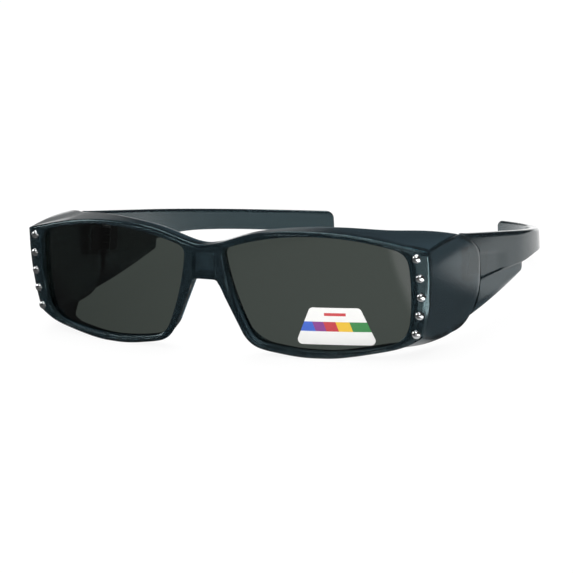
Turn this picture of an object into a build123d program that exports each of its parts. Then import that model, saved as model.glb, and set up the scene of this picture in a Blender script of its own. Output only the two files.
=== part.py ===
from build123d import *
import os
from math import atan, cos, degrees, pi, radians, sin, sqrt

# Fitover sunglasses, worn over a wearer's own glasses. A one-piece front with a brow shelf and
# side shields holds two curved lenses in grooves. Hooked temples fold on three-knuckle hinges.
# Five set stones stand down each outer edge, and one lens carries a paper label.
# The frame lies as on a table: +X is the wearer's left, -Y is where the wearer looks, +Z is up.
# Millimetres.

# Cuts run past what they cut by this much
overrun = 2.0

# Front: its outline seen from ahead, and the radius that its face follows in plan
front_half_width = 69.8
front_height = 39.1
front_radius = 217.0
rim_depth = 4.4
wall = 1.9

# Side of the front, bowed in front view, from the shoulder down to the cheek corner, and how much
# flatter the bow is at the rear of the shield
side_bow_radius = 67.0
side_rear_bow_radius = 140.0
side_widest_share = 0.69
shoulder_share = 0.839
cheek_share = 0.171

# Bridge and nose
bridge_half_width = 4.0
bridge_bottom_share = 0.58
bridge_top_share = 0.8645
nose_foot_share = (0.172, 0.161)
nose_fall_share = 1.9
nose_draft = 22.0
rim_flat_shares = [(0.473, 0.0), (0.56, 0.0)]
bridge_panel_half_width = 3.2
bridge_panel_flare = 0.8
bridge_panel_top_gap = 2.6
bridge_panel_depth = 1.1
bridge_panel_radius = 0.8

# Points of the brow line, as shares of the half width and of the height
brow_shares = [(0.115, 0.906), (0.22, 0.961), (0.37, 0.997), (0.47, 1.0), (0.63, 0.983), (0.79, 0.934)]
# Points of the lower edge between the rim's flat and the cheek, and between the nose foot and the flat
cheek_line_shares = [(0.66, 0.019), (0.774, 0.053), (0.888, 0.106)]
nose_line_shares = [(0.199, 0.104), (0.235, 0.065), (0.3, 0.038), (0.41, 0.009)]
cheek_rise_share = 0.62
shoulder_fall_share = 0.27

# How far back the brow shelf and the lower lip reach, in plan, as shares of the half width
# and of the shelf's depth at the side
shelf_depth = 36.0
shelf_shares = [(0.0, 0.135), (0.21, 0.15), (0.40, 0.235), (0.57, 0.365), (0.74, 0.54), (0.87, 0.79)]
lip_shares = [(0.0, 0.135), (0.21, 0.145), (0.40, 0.185), (0.57, 0.24), (0.74, 0.33), (0.87, 0.6)]

# Side shield in side view: its rear edge, as shares of its depth and of the front's height
shield_depth = 51.2
shield_wall = 2.2
shield_edge_shares = [(0.722, 0.842), (0.834, 0.775), (0.918, 0.7), (0.977, 0.632), (0.998, 0.53)]
shield_edge_shares += [(1.0, 0.4), (0.99, 0.304), (0.953, 0.222), (0.9, 0.145), (0.815, 0.088), (0.7, 0.073)]
shield_foot_share = 0.145

# Lens opening: its corners as shares of the half width and of the height, the bow of each side,
# and the radius of each corner, in the order inner top, outer top, outer foot, inner foot
opening_corner_shares = [(0.0903, 0.834), (0.907, 0.829), (0.894, 0.133), (0.2206, 0.1176)]
opening_top_bow = 4.9
opening_outer_bow = 1.15
opening_foot_bow = 2.8
opening_inner_bow = 1.4
opening_corner_radii = [2.4, 3.6, 6.0, 3.4]

# Lenses
lens_recess = 2.2
lens_thickness = 1.1
lens_overlap = 0.8
lens_fit = 0.05

# Stones set down the outer edge of the front, as shares of the half width and of the height
stone_place_shares = [(0.951, 0.793), (0.962, 0.642), (0.963, 0.494), (0.954, 0.351), (0.937, 0.206)]
stone_radius = 1.4
stone_seat_depth = 0.7
stone_crown = 0.8
stone_table_radius = 0.75
stone_sides = 8
stone_fit = 0.05

# Paper label on the wearer's left lens
label_center_share = (0.596, 0.2634)
label_top_width = 15.0
label_foot_width = 24.6
label_height = 11.2
label_corner_radius = 1.4
label_thickness = 0.12

# Temples: a bar that runs straight and then hooks inwards, seen in plan
temple_outer_inset = 0.7
temple_splay = 0.8
temple_thickness = 3.4
temple_straight = 40.5
temple_hook_radius = 101.4
temple_hook_length = 89.0
tip_corner_radius = 2.6
joint_gap = 0.35

# Temple bar in side view: the line of its top, and its height along its length
bar_top_drop = 6.8
bar_height = 15.2
bar_height_shares = [(0.0, 1.14), (0.12, 0.99), (0.26, 0.825), (0.42, 0.65), (0.505, 0.55), (0.62, 0.495),
                     (0.8, 0.49), (1.0, 0.525)]
bar_front_inset = 12.0
bar_shoulder_inset = 9.0

# Wing below the bar's front half
wing_inset = 0.8
wing_inner_inset = 0.5
wing_length = 36.0
wing_end_inset = 10.1
wing_end_run = 2.2
wing_end_drop = 2.8
wing_foot_share = 0.125
wing_sag = 0.7

# Shallow panel on the outer face of the bar
panel_depth = 0.4
panel_length = 17.5
panel_top_drop = 6.4
panel_front_height = 9.8
panel_end_height = 5.6

# Hinges: three knuckles on a screw, leaves seated in pockets
hinge_share = 0.5243
hinge_axis_inset = 0.45
knuckle_radius = 1.45
knuckle_height = 2.4
knuckle_gap = 0.06
knuckle_relief = 0.3
leaf_thickness = 0.9
leaf_length = 8.0
leaf_corner_radius = 0.8
screw_radius = 0.7
screw_running_gap = 0.05
screw_thread_gap = 0.02
screw_head_radius = 1.3
screw_head_height = 0.8
screw_slot_width = 0.35
screw_slot_depth = 0.4
boss_margin = 1.2
boss_length = 10.5

# Derived sizes
depth_of_everything = shield_depth + temple_straight + temple_hook_length
tall = front_height + overrun
side_bow_x = front_half_width - side_bow_radius
face_side_y = front_radius - sqrt(front_radius**2 - front_half_width**2)
side_widest_z = side_widest_share * front_height
shoulder_z = shoulder_share * front_height
cheek_z = cheek_share * front_height
bridge_bottom_z = bridge_bottom_share * front_height
bridge_top_z = bridge_top_share * front_height
splay = radians(temple_splay)
hook_angle = temple_hook_length / temple_hook_radius
bar_front_y = shield_depth - bar_front_inset
bar_end_y = bar_front_y + cos(splay) * temple_straight
bar_end_y += (sin(splay) + sin(hook_angle - splay)) * temple_hook_radius
bar_front_z = front_height - bar_top_drop
bar_end_height = bar_height_shares[-1][1] * bar_height
droop = atan((bar_front_z - bar_end_height) / (bar_end_y - bar_front_y))
temple_outer_x = front_half_width - temple_outer_inset
hinge_x = temple_outer_x - temple_thickness - hinge_axis_inset
hinge_y = shield_depth + joint_gap / 2
hinge_z = hinge_share * front_height
hinge_half_height = 1.5 * knuckle_height + knuckle_gap
leaf_height = 3 * knuckle_height


def on_front(share):
    """A point of the front view, from shares of the half width and of the height."""
    return Vector(share[0] * front_half_width, 0, share[1] * front_height)


def side_x(z):
    """Outermost x of the bowed side at a height."""
    return side_bow_x + sqrt(side_bow_radius**2 - (z - side_widest_z) ** 2)


def flipped(point):
    """The same point on the wearer's right."""
    return Vector(-point.X, point.Y, point.Z)


def pushed(edges, direction, start, length):
    """The flat shape inside the edges, pushed along a direction from a start distance."""
    way = Vector(*direction)
    return extrude(Face(Wire(edges)).moved(Location(way * start)), amount=length, dir=way)


def plan_cylinder(radius):
    """Solid inside a plan radius that shares the centre of the front's curve."""
    return Cylinder(radius, 4 * tall).moved(Location((0, front_radius, 0)))


def front_layer(face, outer_radius, inner_radius):
    """A face of the front view, curved between two plan radii of the front."""
    block = extrude(face.moved(Location((0, -overrun, 0))), amount=shield_depth, dir=(0, 1, 0))
    return (block & plan_cylinder(outer_radius)) - plan_cylinder(inner_radius)


def chain(points):
    """Straight edges that join the points in order and close on the first."""
    return [Line(a, b) for a, b in zip(points, points[1:] + points[:1])]


def arc_with_bow(start, end, bow):
    """An arc in the front view that stands out by a bow to the left of the way it runs."""
    run = end - start
    out = Vector(-run.Z, 0, run.X).normalized()
    return ThreePointArc(start, (start + end) / 2 + out * bow, end)


def front_outline():
    """Edges of the front's top and foot, seen from ahead, run on past the sides and closed there."""
    shoulder = Vector(side_x(shoulder_z), 0, shoulder_z)
    cheek = Vector(side_x(cheek_z), 0, cheek_z)
    past_x = front_half_width + overrun
    past_shoulder = shoulder + Vector(1, 0, -shoulder_fall_share) * (past_x - shoulder.X)
    past_cheek = cheek + Vector(1, 0, cheek_rise_share) * (past_x - cheek.X)
    flat_inner, flat_outer = [on_front(share) for share in rim_flat_shares]
    nose_foot = on_front(nose_foot_share)
    bridge = Vector(bridge_half_width, 0, bridge_bottom_z)
    brow = [on_front(share) for share in brow_shares] + [shoulder]
    brow_line = [flipped(p) for p in reversed(brow)] + [Vector(0, 0, bridge_top_z)] + brow
    cheek_line = [flat_outer] + [on_front(share) for share in cheek_line_shares] + [cheek]
    nose_line = [nose_foot] + [on_front(share) for share in nose_line_shares] + [flat_inner]
    half = [
        Line(past_shoulder, shoulder),
        Line(past_cheek, past_shoulder),
        Line(cheek, past_cheek),
        Spline(cheek_line, tangents=[(1, 0, 0), (1, 0, cheek_rise_share)]),
        Line(flat_inner, flat_outer),
        Spline(nose_line, tangents=[(1, 0, -nose_fall_share), (1, 0, 0)]),
        Line(bridge, nose_foot),
    ]
    other_half = [edge.mirror(Plane.YZ) for edge in half]
    falls = [(1, 0, shoulder_fall_share), (1, 0, -shoulder_fall_share)]
    return [Spline(brow_line, tangents=falls), Line(flipped(bridge), bridge)] + half + other_half


def grown(face, amount):
    """A face of the front view with its edge moved out, or in where the amount is negative."""
    return offset(face, amount=amount, kind=Kind.INTERSECTION).face().to_splines()


def lens_opening():
    """Face of the wearer's left lens opening, four bowed sides with rounded corners."""
    inner_top, outer_top, outer_foot, inner_foot = [on_front(share) for share in opening_corner_shares]
    sides = [
        arc_with_bow(inner_top, outer_top, opening_top_bow),
        arc_with_bow(outer_top, outer_foot, opening_outer_bow),
        arc_with_bow(outer_foot, inner_foot, opening_foot_bow),
        arc_with_bow(inner_foot, inner_top, opening_inner_bow),
    ]
    face = Face(Wire(sides))
    for share, radius in zip(opening_corner_shares, opening_corner_radii):
        corner = on_front(share)
        nearest = min(face.vertices(), key=lambda vertex: (Vector(vertex) - corner).length)
        face = face.fillet_2d(radius, [nearest])
    return face


def plan_line(shares):
    """Rear edge in plan, from the wearer's right to the left, through shares of the shelf's depth."""
    side = [Vector(x * front_half_width, y * shelf_depth, 0) for x, y in shares]
    side.append(Vector(front_half_width, shelf_depth, 0))
    return Spline([flipped(p) for p in reversed(side[1:])] + side)


def behind(line, half_width, low, high):
    """Everything behind a plan line, within a half width and between two heights."""
    left, right = line @ 0, line @ 1
    far = depth_of_everything
    far_right, far_left = Vector(right.X, far, 0), Vector(left.X, far, 0)
    edges = [line, Line(right, far_right), Line(far_right, far_left), Line(far_left, left)]
    strip = Box(2 * half_width, 4 * far, high - low).moved(Location((0, 0, (low + high) / 2)))
    return pushed(edges, (0, 0, 1), low, high - low) & strip


def shield_slab(shift, start, length):
    """The side shield's side view, pushed across X, with its rear edge moved back by a shift."""
    edge = [Vector(0, y * shield_depth + shift, z * front_height) for y, z in shield_edge_shares]
    top, foot = edge[0], edge[-1]
    front_top = Vector(0, -overrun, top.Z)
    front_foot = Vector(0, -overrun, shield_foot_share * front_height)
    edges = [Line(front_top, top), Spline(edge), Line(foot, front_foot), Line(front_foot, front_top)]
    return pushed(edges, (1, 0, 0), start, length)


def side_section(y, inset):
    """Face across the frame at a depth, bounded by the bowed side less an inset."""
    flatter = (side_rear_bow_radius - side_bow_radius) / (shield_depth - face_side_y)
    radius = side_bow_radius + (y - face_side_y) * flatter - inset
    middle = Vector(front_half_width - inset, y, side_widest_z)

    def on_bow(z):
        rise = z - side_widest_z
        return Vector(middle.X - radius + sqrt(radius**2 - rise**2), y, z)

    foot, top = on_bow(-overrun), on_bow(tall)
    far_foot, far_top = [Vector(-2 * front_half_width, y, point.Z) for point in (foot, top)]
    edges = [ThreePointArc(foot, middle, top), Line(top, far_top), Line(far_top, far_foot), Line(far_foot, foot)]
    return Face(Wire(edges))


def side_wall(inset):
    """Everything inside the wearer's left side less an inset; the side's bow flattens to the rear."""
    ends = [side_section(y, inset) for y in (-overrun, shield_depth + overrun)]
    return loft(ends, ruled=True)


def between_sides(solid, inset):
    """What a solid has between the two side walls, each less an inset."""
    side = side_wall(inset)
    return solid & side & mirror(side, about=Plane.YZ)


def hinge_place():
    """Frame of the wearer's left hinge: Z up its axis, Y back along the temple, X outwards."""
    up = (0, sin(droop), cos(droop))
    return Plane(origin=(hinge_x, hinge_y, hinge_z), x_dir=(1, 0, 0), z_dir=up).location


def hinge_plate(way, thickness, length, half_height, corner_radius):
    """A plate beside the hinge axis, way 1 back and -1 forward, its far corners rounded."""
    plate = Box(thickness, length, 2 * half_height)
    far_edges = plate.edges().filter_by(Axis.X).group_by(Axis.Y)[-1 if way > 0 else 0]
    plate = fillet(far_edges, corner_radius)
    return plate.moved(Location((hinge_axis_inset + thickness / 2, way * length / 2, 0)))


def leaf_plate(way):
    """The plate of one leaf, and the room for it in the plastic."""
    return hinge_plate(way, leaf_thickness, leaf_length, leaf_height / 2, leaf_corner_radius)


def knuckle(low, high):
    """A knuckle's solid cylinder between two heights on the axis."""
    return Cylinder(knuckle_radius, high - low).moved(Location((0, 0, (low + high) / 2)))


def knuckle_relief_solid():
    """Room that the plastic leaves round the knuckles and the screw's head."""
    height = 2 * hinge_half_height + 2 * screw_head_height + 2 * knuckle_relief
    return Cylinder(knuckle_radius + knuckle_relief, height)


def front_leaf():
    """Two outer knuckles on a plate that is set in the side shield."""
    half = knuckle_height / 2 + knuckle_gap
    room = 2 * (knuckle_radius + knuckle_relief)
    leaf = leaf_plate(-1) + knuckle(half, hinge_half_height) + knuckle(-hinge_half_height, -half)
    leaf -= Box(room, room, 2 * half)
    return leaf - Cylinder(screw_radius + screw_thread_gap, 4 * leaf_height)


def temple_leaf():
    """One middle knuckle on a plate that is set in the temple."""
    half = knuckle_height / 2
    width = 2 * (knuckle_radius + knuckle_relief)
    room = Box(width, width, leaf_height)
    leaf = leaf_plate(1)
    for way in (1, -1):
        leaf -= room.moved(Location((0, 0, way * (half + leaf_height / 2))))
    leaf += knuckle(-half, half)
    return leaf - Cylinder(screw_radius + screw_running_gap, 4 * leaf_height)


def hinge_screw():
    """Slotted screw whose head rests on the top knuckle and whose shank ends flush below."""
    head = Cylinder(screw_head_radius, screw_head_height)
    head = chamfer(head.edges().sort_by(Axis.Z)[-1], screw_head_height / 4)
    slot = Box(2 * screw_head_radius, screw_slot_width, screw_slot_depth)
    head -= slot.moved(Location((0, 0, (screw_head_height - screw_slot_depth) / 2)))
    head = head.moved(Location((0, 0, hinge_half_height + screw_head_height / 2)))
    return head + Cylinder(screw_radius, 2 * hinge_half_height)


def front_frame(opening):
    """The moulded front: face, rims, brow shelf, lower lip, nose sides and side shields."""
    outline = Face(Wire(front_outline()))
    back_radius = front_radius - rim_depth
    block = extrude(outline.moved(Location((0, -overrun, 0))), amount=shelf_depth + overrun, dir=(0, 1, 0))
    inner = grown(outline, -wall)
    hollow = extrude(inner.moved(Location((0, -overrun, 0))), amount=shield_depth + overrun, dir=(0, 1, 0))
    block, hollow = between_sides(block, 0), between_sides(hollow, wall)
    body = (block & plan_cylinder(front_radius)) - (hollow & plan_cylinder(back_radius))
    body -= nose_room()
    body -= behind(plan_line(shelf_shares), side_x(shoulder_z) - wall, bridge_top_z - 2 * wall, tall)
    body -= behind(plan_line(lip_shares), side_x(cheek_z) - wall, -overrun, bridge_top_z - 2 * wall)
    plate = shield_slab(0, side_x(0) - 2 * wall, 4 * wall + overrun)
    plate = (plate & side_wall(0)) - side_wall(shield_wall)
    plate &= plan_cylinder(front_radius)
    boss = hinge_plate(-1, 2 * wall, boss_length, leaf_height / 2 + boss_margin, boss_margin)
    boss = boss.moved(hinge_place()) & shield_slab(0, 0, 2 * front_half_width)
    boss &= side_wall(wall / 2)
    plate += boss
    plate -= leaf_plate(-1).moved(hinge_place())
    plate -= knuckle_relief_solid().moved(hinge_place())
    body += plate + mirror(plate, about=Plane.YZ)

    groove_radius = front_radius - lens_recess + lens_fit
    groove_face = grown(opening, lens_overlap + lens_fit)
    room = front_layer(opening, front_radius + overrun, back_radius - overrun)
    room += front_layer(groove_face, groove_radius, groove_radius - lens_thickness - 2 * lens_fit)
    body -= room
    body -= mirror(room, about=Plane.YZ)
    for seat in stone_seats():
        well = extrude(stone_face(stone_radius + stone_fit), amount=overrun, dir=(0, 0, 1))
        well += extrude(stone_face(stone_radius + stone_fit), amount=stone_seat_depth, dir=(0, 0, -1))
        well = well.moved(seat)
        body -= well
        body -= mirror(well, about=Plane.YZ)
    body -= bridge_panel()
    return body


def nose_room():
    """Room for the nose below the bridge, which opens out to the rear."""
    nose_foot = on_front(nose_foot_share)
    side = [Vector(bridge_half_width, 0, bridge_bottom_z), nose_foot, Vector(nose_foot.X, 0, -overrun)]
    corners = side + [flipped(p) for p in reversed(side)]
    return extrude(Face(Wire(chain(corners))), amount=2 * rim_depth, dir=(0, 1, 0), taper=-nose_draft)


def bridge_panel():
    """Recess in the face of the bridge, open at its foot."""
    top = bridge_top_z - bridge_panel_top_gap
    foot = bridge_bottom_z - overrun
    foot_half_width = bridge_panel_half_width + bridge_panel_flare
    side = [Vector(bridge_panel_half_width, 0, top), Vector(foot_half_width, 0, foot)]
    corners = side + [flipped(p) for p in reversed(side)]
    recess = pushed(chain(corners), (0, 1, 0), -overrun, overrun + bridge_panel_depth)
    return fillet(recess.edges().filter_by(Axis.Y).group_by(Axis.Z)[-1], bridge_panel_radius)


def stone_seats():
    """Places of the stones on the front's face, Z out of the face."""
    seats = []
    for share in stone_place_shares:
        point = on_front(share)
        y = front_radius - sqrt(front_radius**2 - point.X**2)
        normal = (point.X, y - front_radius, 0)
        seats.append(Plane(origin=(point.X, y, point.Z), x_dir=(0, 0, 1), z_dir=normal).location)
    return seats


def stone_face(radius):
    """Faceted outline of a stone, seen from above."""
    return RegularPolygon(radius, stone_sides).face()


def stone():
    """Cut stone whose facets slope up to a flat table, its seat below z zero."""
    slope = degrees(atan((stone_radius - stone_table_radius) * cos(pi / stone_sides) / stone_crown))
    crown = extrude(stone_face(stone_radius), amount=stone_crown, dir=(0, 0, 1), taper=slope)
    return extrude(stone_face(stone_radius), amount=stone_seat_depth, dir=(0, 0, -1)) + crown


def label():
    """Paper label, a trapezoid with rounded corners that lies on the lens."""
    half = label_height / 2
    side = [Vector(label_top_width / 2, 0, half), Vector(label_foot_width / 2, 0, -half)]
    corners = [on_front(label_center_share) + p for p in side + [flipped(q) for q in reversed(side)]]
    face = Face(Wire(chain(corners)))
    face = face.fillet_2d(label_corner_radius, face.vertices())
    lens_radius = front_radius - lens_recess
    return front_layer(face, lens_radius + label_thickness, lens_radius)


def plan_strip(outer_inset, inner_inset):
    """The temple in plan, from one inset behind its outer face to another, pushed upwards."""
    start_y = bar_front_y
    centre = Vector(temple_outer_x + sin(splay) * temple_straight, start_y + cos(splay) * temple_straight, 0)
    centre += Vector(-cos(splay), sin(splay), 0) * temple_hook_radius

    def at(angle, inset):
        reach = temple_hook_radius - inset
        return centre + Vector(cos(angle - splay), sin(angle - splay), 0) * reach

    def start(inset):
        return Vector(temple_outer_x, start_y, 0) + Vector(-cos(splay), sin(splay), 0) * inset

    edges = [
        Line(start(outer_inset), at(0, outer_inset)),
        ThreePointArc(at(0, outer_inset), at(hook_angle / 2, outer_inset), at(hook_angle, outer_inset)),
        Line(at(hook_angle, outer_inset), at(hook_angle, inner_inset)),
        ThreePointArc(at(hook_angle, inner_inset), at(hook_angle / 2, inner_inset), at(0, inner_inset)),
        Line(at(0, inner_inset), start(inner_inset)),
        Line(start(inner_inset), start(outer_inset)),
    ]
    tip = [at(hook_angle, outer_inset), at(hook_angle, inner_inset)]
    return pushed(edges, (0, 0, 1), -tall, 3 * tall), tip


def bar_top(y):
    """Height of the bar's top edge."""
    return bar_front_z - (y - bar_front_y) * sin(droop) / cos(droop)


def temple():
    """The wearer's left temple: bar, wing, panel, hinge pocket and rounded tip."""
    strip, tip = plan_strip(0, temple_thickness)
    length = bar_end_y - bar_front_y
    foot = []
    for along, share in bar_height_shares:
        y = bar_front_y + along * length
        foot.append(Vector(0, y, bar_top(y) - share * bar_height))
    past = Vector(0, bar_end_y + overrun, foot[-1].Z)
    top_front = Vector(0, bar_front_y, bar_front_z)
    top_past = Vector(0, past.Y, bar_top(past.Y))
    sides = [Line(top_front, top_past), Line(top_past, past), Line(past, foot[-1])]
    sides += [Spline(foot), Line(foot[0], top_front)]
    bar = strip & pushed(sides, (1, 0, 0), 0, 2 * front_half_width)
    middle = (tip[0] + tip[1]) / 2

    def ends_bar(edge):
        return (edge.center() - Vector(0, 0, edge.center().Z) - middle).length < temple_thickness / 4

    bar = fillet(bar.edges().filter_by(ends_bar), tip_corner_radius)
    bar += wing()
    bar -= bar_panel()
    shoulder_y = shield_depth - bar_shoulder_inset
    bar -= Box(4 * front_half_width, 2 * shoulder_y, tall).moved(Location((0, 0, hinge_z + tall / 2)))
    bar -= shield_slab(joint_gap, 0, 2 * front_half_width)
    for way in (1, -1):
        bar -= leaf_plate(way).moved(hinge_place())
    return bar - knuckle_relief_solid().moved(hinge_place())


def wing():
    """The thinner wing below the bar's front half, bevelled along its foot."""
    strip = plan_strip(wing_inset, temple_thickness - wing_inner_inset)[0]
    inside = bar_height / 2
    wing_end_y = shield_depth + wing_length
    wing_end_z = bar_top(wing_end_y) - wing_end_inset
    front_top = Vector(0, bar_front_y, bar_front_z - inside)
    rear_top = Vector(0, wing_end_y, bar_top(wing_end_y) - inside)
    rear = Vector(0, wing_end_y, wing_end_z)
    rear_foot = Vector(0, wing_end_y - wing_end_run, wing_end_z - wing_end_drop)
    front_foot = Vector(0, bar_front_y, wing_foot_share * front_height)
    sagging = (rear_foot + front_foot) / 2 - Vector(0, 0, wing_sag)
    edges = [
        Line(front_top, rear_top),
        Line(rear_top, rear),
        Line(rear, rear_foot),
        ThreePointArc(rear_foot, sagging, front_foot),
        Line(front_foot, front_top),
    ]
    return strip & pushed(edges, (1, 0, 0), 0, 2 * front_half_width)


def bar_panel():
    """Shallow recess in the bar's outer face, from the joint back to the panel's end."""
    strip = plan_strip(-overrun, panel_depth)[0]
    panel_end_y = shield_depth + panel_length
    top_front = Vector(0, bar_front_y, bar_front_z - panel_top_drop)
    top_rear = Vector(0, panel_end_y, bar_top(panel_end_y) - panel_top_drop)
    foot_rear = top_rear - Vector(0, 0, panel_end_height)
    foot_front = top_front - Vector(0, 0, panel_front_height)
    corners = [top_front, top_rear, foot_rear, foot_front]
    return strip & pushed(chain(corners), (1, 0, 0), 0, 2 * front_half_width)


def all_nodes():
    """Every piece by its name, each on both sides where the real one has two."""
    opening = lens_opening()
    lens_radius = front_radius - lens_recess
    place = hinge_place()
    nodes = {"front_frame": front_frame(opening)}
    pairs = {
        "lens": front_layer(grown(opening, lens_overlap), lens_radius, lens_radius - lens_thickness),
        "temple": temple(),
        "hinge_front_leaf": front_leaf().moved(place),
        "hinge_temple_leaf": temple_leaf().moved(place),
        "hinge_screw": hinge_screw().moved(place),
    }
    for piece, solid in pairs.items():
        nodes[f"{piece}_left"] = solid
        nodes[f"{piece}_right"] = mirror(solid, about=Plane.YZ)
    for number, seat in enumerate(stone_seats(), 1):
        nodes[f"stone_left_{number}"] = stone().moved(seat)
        nodes[f"stone_right_{number}"] = mirror(stone().moved(seat), about=Plane.YZ)
    nodes["lens_sticker"] = label()
    return nodes


def standing_place(nodes):
    """Move that puts the origin on the table, below the middle of the whole."""
    boxes = [solid.bounding_box() for solid in nodes.values()]
    middle_y = (min(box.min.Y for box in boxes) + max(box.max.Y for box in boxes)) / 2
    return Location((0, -middle_y, -min(box.min.Z for box in boxes)))


if __name__ == "__main__":
    os.makedirs("parts", exist_ok=True)
    nodes = all_nodes()
    place = standing_place(nodes)
    for name, solid in nodes.items():
        export_step(solid.solid().moved(place), f"parts/{name}.step")
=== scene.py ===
import math

import bpy
import numpy as np
from bpy.props import (
    FloatProperty,
    FloatVectorProperty,
    IntProperty,
    PointerProperty,
)
from mathutils import Matrix, Vector


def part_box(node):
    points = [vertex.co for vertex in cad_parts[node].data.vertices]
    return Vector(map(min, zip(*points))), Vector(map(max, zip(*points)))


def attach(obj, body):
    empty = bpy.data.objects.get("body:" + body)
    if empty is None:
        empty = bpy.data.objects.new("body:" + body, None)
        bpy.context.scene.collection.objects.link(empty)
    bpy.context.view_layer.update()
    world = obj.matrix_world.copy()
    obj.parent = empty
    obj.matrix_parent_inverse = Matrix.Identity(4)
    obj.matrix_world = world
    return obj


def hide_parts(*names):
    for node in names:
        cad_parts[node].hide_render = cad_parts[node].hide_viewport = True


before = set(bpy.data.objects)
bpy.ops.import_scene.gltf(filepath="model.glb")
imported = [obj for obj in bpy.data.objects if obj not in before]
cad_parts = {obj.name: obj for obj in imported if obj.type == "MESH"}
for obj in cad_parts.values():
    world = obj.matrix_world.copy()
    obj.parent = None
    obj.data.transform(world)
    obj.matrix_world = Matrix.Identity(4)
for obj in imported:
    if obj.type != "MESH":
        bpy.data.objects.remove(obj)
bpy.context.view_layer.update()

bl_info = {
    "name": "Fitover sunglasses dresser",
    "version": (1, 0, 0),
    "blender": (4, 5, 0),
    "location": "3D View > Sidebar > Sunglasses",
    "description": "Dresses a packed pair of fitover sunglasses: smoke plastic, lenses, stones, label and stage",
    "category": "Object",
}

# Metres in a millimetre
MM = 0.001
SIDES = ("left", "right")
STONE_ROW = (1, 2, 3, 4, 5)
WHITE = (1.0, 1.0, 1.0, 1.0)


def amount(name, description, default, **more):
    """A setting that is a size, a brightness or a strength, from 0 up."""
    return FloatProperty(name=name, description=description, default=default, min=0.0, **more)


def fraction(name, description, default):
    """A setting that is a share of a whole."""
    return FloatProperty(name=name, description=description, default=default, subtype="FACTOR", min=0.0, max=1.0)


def turning(name, description, degrees):
    """A setting that is an angle."""
    return FloatProperty(name=name, description=description, default=math.radians(degrees), subtype="ANGLE")


def tint(name, description, default):
    """A setting that is a colour."""
    return FloatVectorProperty(name=name, description=description, default=default, size=3, subtype="COLOR")


class StageSettings(bpy.types.PropertyGroup):
    """Where the camera stands, and how bright the floor, the sky and the lamps are."""

    camera_place: FloatVectorProperty(
        name="Camera place", description="Where the camera stands", size=3, subtype="TRANSLATION", unit="LENGTH",
        default=(0.35442, -0.7027, 0.19963))
    camera_turn: turning("Camera turn", "Turn about the upright", 27.614)
    camera_tilt: turning("Camera tilt", "Tilt down from level", 14.104)
    camera_roll: turning("Camera roll", "Roll about the line of sight", -3.125)
    camera_lens: amount("Camera lens", "Focal length", 153.11, unit="CAMERA")
    floor_half: amount("Floor half width", "Half the width of the floor", 3.0, unit="LENGTH")
    floor_color: tint("Floor colour", "Colour of the floor and the backdrop", (0.93, 0.93, 0.93))
    floor_glow: fraction("Floor glow", "Share of the floor that shows as plain white", 0.9)
    floor_mirrored: amount("Floor in gloss", "Least brightness that gloss sees on the floor", 0.08)
    glow_behind: amount("Glow behind", "Brightness that gloss sees on the floor behind the object", 0.75)
    glow_beside: amount("Glow beside", "Brightness that gloss sees on the floor ahead of the left side", 1.2)
    glow_corner: amount("Glow at the corner", "Brightness of the narrow patch that lights the left corner", 7.0)
    glow_under: amount("Glow under", "Brightness that gloss sees just behind the rim's foot", 0.5)
    sky_fill: amount("Sky fill", "Strength of the even light from all sides", 0.7)
    sky_front: amount("Dim side", "Brightness that gloss sees on the camera's side", 0.03)
    sky_back: amount("Bright side", "Brightness that gloss sees behind the object", 0.65)
    lamp_power: amount("Lamp power", "Power of the overhead soft lamp", 9.0, unit="POWER")


class PlasticSettings(bpy.types.PropertyGroup):
    """The moulded smoke plastic of the front and the temples."""

    stain: tint("Stain", "Colour that the plastic lets through", (0.3, 0.28, 0.28))
    body: tint("Body colour", "Colour of the plastic's own tint", (0.22, 0.4, 0.5))
    sheen: tint("Gloss colour", "Colour of the gloss, tinted by the cloudy skin", (0.68, 0.95, 1.0))
    clear: fraction("Clearness", "Share of light that passes in, the rest being cloudy", 0.97)
    density: amount("Density", "How fast the plastic darkens with depth, per metre", 1550.0)
    ior: amount("Refraction", "Index of refraction", 1.49)
    roughness: fraction("Roughness", "Roughness of the polished mould", 0.06)
    wear: fraction("Handling marks", "Extra roughness where it is handled", 0.08)
    ripple: amount("Moulding ripple", "Height of the faint ripple that moulding leaves", 0.000005, unit="LENGTH")


class LensSettings(bpy.types.PropertyGroup):
    """The curved dark lenses."""

    stain: tint("Stain", "Colour that a lens lets through", (0.12, 0.17, 0.135))
    density: amount("Density", "How fast a lens darkens with depth, per metre", 3050.0)
    ior: amount("Refraction", "Index of refraction", 1.49)
    roughness: fraction("Roughness", "Roughness of the polished face", 0.015)
    smudge: fraction("Smudges", "Extra roughness of faint smudges", 0.04)


class StoneSettings(bpy.types.PropertyGroup):
    """The round set stones."""

    facets: IntProperty(name="Table sides", description="Sides of the flat top facet", default=8, min=5)
    table_share: fraction("Table share", "Width of the top facet as a share of the stone's", 0.52)
    girdle_share: fraction("Girdle share", "Height of the upright rim as a share of the crown's", 0.12)
    color: tint("Stone colour", "Colour of the silvered stone", (0.93, 0.94, 0.96))
    roughness: fraction("Roughness", "Roughness of the facets", 0.05)


class LabelSettings(bpy.types.PropertyGroup):
    """The paper label on one lens."""

    paper: tint("Paper", "Colour of the paper", (0.9, 0.9, 0.88))
    band_low: fraction("Band foot", "Foot of the colour band as a share of the label's height", 0.36)
    band_high: fraction("Band top", "Top of the colour band as a share of the label's height", 0.62)
    slant: fraction("Slant", "How far the stripes lean, as a share of the label's width", 0.16)
    ink: fraction("Ink", "Strength of the printed colours", 0.95)


class MetalSettings(bpy.types.PropertyGroup):
    """The hinge leaves and their screws."""

    leaf_color: tint("Leaf colour", "Colour of the hinge leaves", (0.03, 0.03, 0.035))
    screw_color: tint("Screw colour", "Colour of the screws", (0.72, 0.72, 0.74))
    roughness: fraction("Roughness", "Roughness of the rolled metal", 0.28)


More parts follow.
